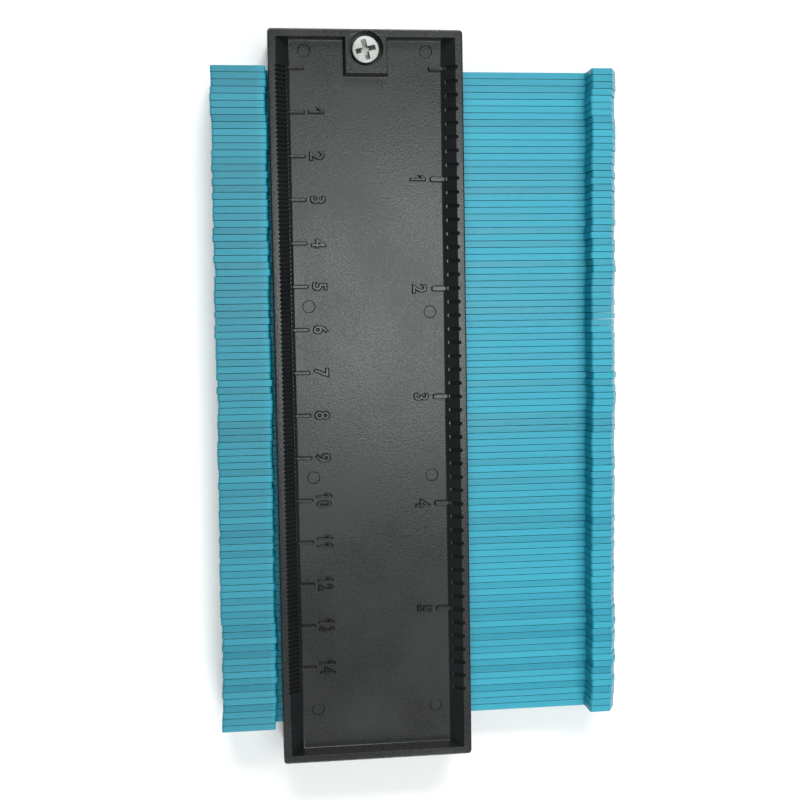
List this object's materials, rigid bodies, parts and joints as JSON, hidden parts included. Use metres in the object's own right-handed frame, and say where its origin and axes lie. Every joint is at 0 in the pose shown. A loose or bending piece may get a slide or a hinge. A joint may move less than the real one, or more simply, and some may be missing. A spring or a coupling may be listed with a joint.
{
  "type": "contour gauge",
  "caption": "Contour gauge: thin plastic blades slide through a flat moulded frame with a ruler tray on each side, stay where they are pushed, and so copy an outline.",
  "frame": {"origin": "middle of the gauge's whole outline at rest, on the plane of the back cover's rim", "axes": "+X along the blades towards their tapered ends, +Y along the frame towards the rulers' zero and the front screw, +Z out of the front cover"},
  "size_m": [0.0968, 0.1704, 0.016],
  "materials": {
    "abs_black": "fine moulded satin",
    "abs_teal": "smooth moulded satin",
    "zinc_steel": "bright zinc plate",
    "foam_rubber": "matt foam"
  },
  "bodies": {
    "frame": {"front_cover": "abs_black", "back_cover": "abs_black", "front_strip": "foam_rubber", "back_strip": "foam_rubber", "front_screw": "zinc_steel", "back_screw": "zinc_steel"},
    "blades_01": {"blades_01": "abs_teal"},
    "blades_02": {"blades_02": "abs_teal"},
    "blades_03": {"blades_03": "abs_teal"},
    "blades_04": {"blades_04": "abs_teal"},
    "blades_05": {"blades_05": "abs_teal"},
    "blades_06": {"blades_06": "abs_teal"},
    "blades_07": {"blades_07": "abs_teal"},
    "blades_08": {"blades_08": "abs_teal"},
    "blades_09": {"blades_09": "abs_teal"},
    "blades_10": {"blades_10": "abs_teal"},
    "blades_11": {"blades_11": "abs_teal"},
    "blades_12": {"blades_12": "abs_teal"},
    "blades_13": {"blades_13": "abs_teal"},
    "blades_14": {"blades_14": "abs_teal"},
    "blades_15": {"blades_15": "abs_teal"},
    "blades_16": {"blades_16": "abs_teal"},
    "blades_17": {"blades_17": "abs_teal"},
    "blades_18": {"blades_18": "abs_teal"},
    "blades_19": {"blades_19": "abs_teal"},
    "blades_20": {"blades_20": "abs_teal"},
    "blades_21": {"blades_21": "abs_teal"},
    "blades_22": {"blades_22": "abs_teal"},
    "blades_23": {"blades_23": "abs_teal"},
    "blades_24": {"blades_24": "abs_teal"},
    "blades_25": {"blades_25": "abs_teal"},
    "blades_26": {"blades_26": "abs_teal"},
    "blades_27": {"blades_27": "abs_teal"},
    "blades_28": {"blades_28": "abs_teal"},
    "blades_29": {"blades_29": "abs_teal"},
    "blades_30": {"blades_30": "abs_teal"},
    "blades_31": {"blades_31": "abs_teal"},
    "blades_32": {"blades_32": "abs_teal"},
    "blades_33": {"blades_33": "abs_teal"},
    "blades_34": {"blades_34": "abs_teal"},
    "blades_35": {"blades_35": "abs_teal"},
    "blades_36": {"blades_36": "abs_teal"},
    "blades_37": {"blades_37": "abs_teal"},
    "blades_38": {"blades_38": "abs_teal"},
    "blades_39": {"blades_39": "abs_teal"},
    "blades_40": {"blades_40": "abs_teal"},
    "blades_41": {"blades_41": "abs_teal"},
    "blades_42": {"blades_42": "abs_teal"},
    "blades_43": {"blades_43": "abs_teal"},
    "blades_44": {"blades_44": "abs_teal"},
    "blades_45": {"blades_45": "abs_teal"},
    "blades_46": {"blades_46": "abs_teal"},
    "blades_47": {"blades_47": "abs_teal"},
    "blades_48": {"blades_48": "abs_teal"},
    "blades_49": {"blades_49": "abs_teal"}
  },
  "joints": [
    {"name": "slide_01", "type": "slide", "parent": "frame", "child": "blades_01", "axis": [1, 0, 0], "range_m": [-0.03054, 0.00038]},
    {"name": "slide_02", "type": "slide", "parent": "frame", "child": "blades_02", "axis": [1, 0, 0], "range_m": [-0.03043, 0.00035]},
    {"name": "slide_03", "type": "slide", "parent": "frame", "child": "blades_03", "axis": [1, 0, 0], "range_m": [-0.03025, 0.00068]},
    {"name": "slide_04", "type": "slide", "parent": "frame", "child": "blades_04", "axis": [1, 0, 0], "range_m": [-0.03029, 0.00048]},
    {"name": "slide_05", "type": "slide", "parent": "frame", "child": "blades_05", "axis": [1, 0, 0], "range_m": [-0.03057, 0.00041]},
    {"name": "slide_06", "type": "slide", "parent": "frame", "child": "blades_06", "axis": [1, 0, 0], "range_m": [-0.03054, 0.00042]},
    {"name": "slide_07", "type": "slide", "parent": "frame", "child": "blades_07", "axis": [1, 0, 0], "range_m": [-0.03035, 0.00063]},
    {"name": "slide_08", "type": "slide", "parent": "frame", "child": "blades_08", "axis": [1, 0, 0], "range_m": [-0.03023, 0.0005]},
    {"name": "slide_09", "type": "slide", "parent": "frame", "child": "blades_09", "axis": [1, 0, 0], "range_m": [-0.03025, 0.00054]},
    {"name": "slide_10", "type": "slide", "parent": "frame", "child": "blades_10", "axis": [1, 0, 0], "range_m": [-0.03023, 0.00062]},
    {"name": "slide_11", "type": "slide", "parent": "frame", "child": "blades_11", "axis": [1, 0, 0], "range_m": [-0.03028, 0.0007]},
    {"name": "slide_12", "type": "slide", "parent": "frame", "child": "blades_12", "axis": [1, 0, 0], "range_m": [-0.03019, 0.00054]},
    {"name": "slide_13", "type": "slide", "parent": "frame", "child": "blades_13", "axis": [1, 0, 0], "range_m": [-0.03005, 0.00064]},
    {"name": "slide_14", "type": "slide", "parent": "frame", "child": "blades_14", "axis": [1, 0, 0], "range_m": [-0.03013, 0.00066]},
    {"name": "slide_15", "type": "slide", "parent": "frame", "child": "blades_15", "axis": [1, 0, 0], "range_m": [-0.03041, 0.00044]},
    {"name": "slide_16", "type": "slide", "parent": "frame", "child": "blades_16", "axis": [1, 0, 0], "range_m": [-0.03022, 0.00074]},
    {"name": "slide_17", "type": "slide", "parent": "frame", "child": "blades_17", "axis": [1, 0, 0], "range_m": [-0.03006, 0.00092]},
    {"name": "slide_18", "type": "slide", "parent": "frame", "child": "blades_18", "axis": [1, 0, 0], "range_m": [-0.03005, 0.0008]},
    {"name": "slide_19", "type": "slide", "parent": "frame", "child": "blades_19", "axis": [1, 0, 0], "range_m": [-0.03001, 0.00078]},
    {"name": "slide_20", "type": "slide", "parent": "frame", "child": "blades_20", "axis": [1, 0, 0], "range_m": [-0.02994, 0.0008]},
    {"name": "slide_21", "type": "slide", "parent": "frame", "child": "blades_21", "axis": [1, 0, 0], "range_m": [-0.03011, 0.00085]},
    {"name": "slide_22", "type": "slide", "parent": "frame", "child": "blades_22", "axis": [1, 0, 0], "range_m": [-0.03015, 0.00082]},
    {"name": "slide_23", "type": "slide", "parent": "frame", "child": "blades_23", "axis": [1, 0, 0], "range_m": [-0.03009, 0.00059]},
    {"name": "slide_24", "type": "slide", "parent": "frame", "child": "blades_24", "axis": [1, 0, 0], "range_m": [-0.03009, 0.00069]},
    {"name": "slide_25", "type": "slide", "parent": "frame", "child": "blades_25", "axis": [1, 0, 0], "range_m": [-0.03034, 0.00057]},
    {"name": "slide_26", "type": "slide", "parent": "frame", "child": "blades_26", "axis": [1, 0, 0], "range_m": [-0.03006, 0.00083]},
    {"name": "slide_27", "type": "slide", "parent": "frame", "child": "blades_27", "axis": [1, 0, 0], "range_m": [-0.03014, 0.00081]},
    {"name": "slide_28", "type": "slide", "parent": "frame", "child": "blades_28", "axis": [1, 0, 0], "range_m": [-0.02987, 0.00105]},
    {"name": "slide_29", "type": "slide", "parent": "frame", "child": "blades_29", "axis": [1, 0, 0], "range_m": [-0.02987, 0.00105]},
    {"name": "slide_30", "type": "slide", "parent": "frame", "child": "blades_30", "axis": [1, 0, 0], "range_m": [-0.03005, 0.00089]},
    {"name": "slide_31", "type": "slide", "parent": "frame", "child": "blades_31", "axis": [1, 0, 0], "range_m": [-0.02981, 0.00096]},
    {"name": "slide_32", "type": "slide", "parent": "frame", "child": "blades_32", "axis": [1, 0, 0], "range_m": [-0.02997, 0.00102]},
    {"name": "slide_33", "type": "slide", "parent": "frame", "child": "blades_33", "axis": [1, 0, 0], "range_m": [-0.02984, 0.00114]},
    {"name": "slide_34", "type": "slide", "parent": "frame", "child": "blades_34", "axis": [1, 0, 0], "range_m": [-0.02983, 0.001]},
    {"name": "slide_35", "type": "slide", "parent": "frame", "child": "blades_35", "axis": [1, 0, 0], "range_m": [-0.02978, 0.00114]},
    {"name": "slide_36", "type": "slide", "parent": "frame", "child": "blades_36", "axis": [1, 0, 0], "range_m": [-0.02973, 0.00111]},
    {"name": "slide_37", "type": "slide", "parent": "frame", "child": "blades_37", "axis": [1, 0, 0], "range_m": [-0.02966, 0.00132]},
    {"name": "slide_38", "type": "slide", "parent": "frame", "child": "blades_38", "axis": [1, 0, 0], "range_m": [-0.02968, 0.00118]},
    {"name": "slide_39", "type": "slide", "parent": "frame", "child": "blades_39", "axis": [1, 0, 0], "range_m": [-0.02962, 0.0013]},
    {"name": "slide_40", "type": "slide", "parent": "frame", "child": "blades_40", "axis": [1, 0, 0], "range_m": [-0.02961, 0.00137]},
    {"name": "slide_41", "type": "slide", "parent": "frame", "child": "blades_41", "axis": [1, 0, 0], "range_m": [-0.02968, 0.00106]},
    {"name": "slide_42", "type": "slide", "parent": "frame", "child": "blades_42", "axis": [1, 0, 0], "range_m": [-0.02985, 0.00098]},
    {"name": "slide_43", "type": "slide", "parent": "frame", "child": "blades_43", "axis": [1, 0, 0], "range_m": [-0.02975, 0.00105]},
    {"name": "slide_44", "type": "slide", "parent": "frame", "child": "blades_44", "axis": [1, 0, 0], "range_m": [-0.02962, 0.0012]},
    {"name": "slide_45", "type": "slide", "parent": "frame", "child": "blades_45", "axis": [1, 0, 0], "range_m": [-0.02978, 0.00106]},
    {"name": "slide_46", "type": "slide", "parent": "frame", "child": "blades_46", "axis": [1, 0, 0], "range_m": [-0.02954, 0.00138]},
    {"name": "slide_47", "type": "slide", "parent": "frame", "child": "blades_47", "axis": [1, 0, 0], "range_m": [-0.02963, 0.00127]},
    {"name": "slide_48", "type": "slide", "parent": "frame", "child": "blades_48", "axis": [1, 0, 0], "range_m": [-0.02937, 0.00146]},
    {"name": "slide_49", "type": "slide", "parent": "frame", "child": "blades_49", "axis": [1, 0, 0], "range_m": [-0.02929, 0.0017]}
  ]
}
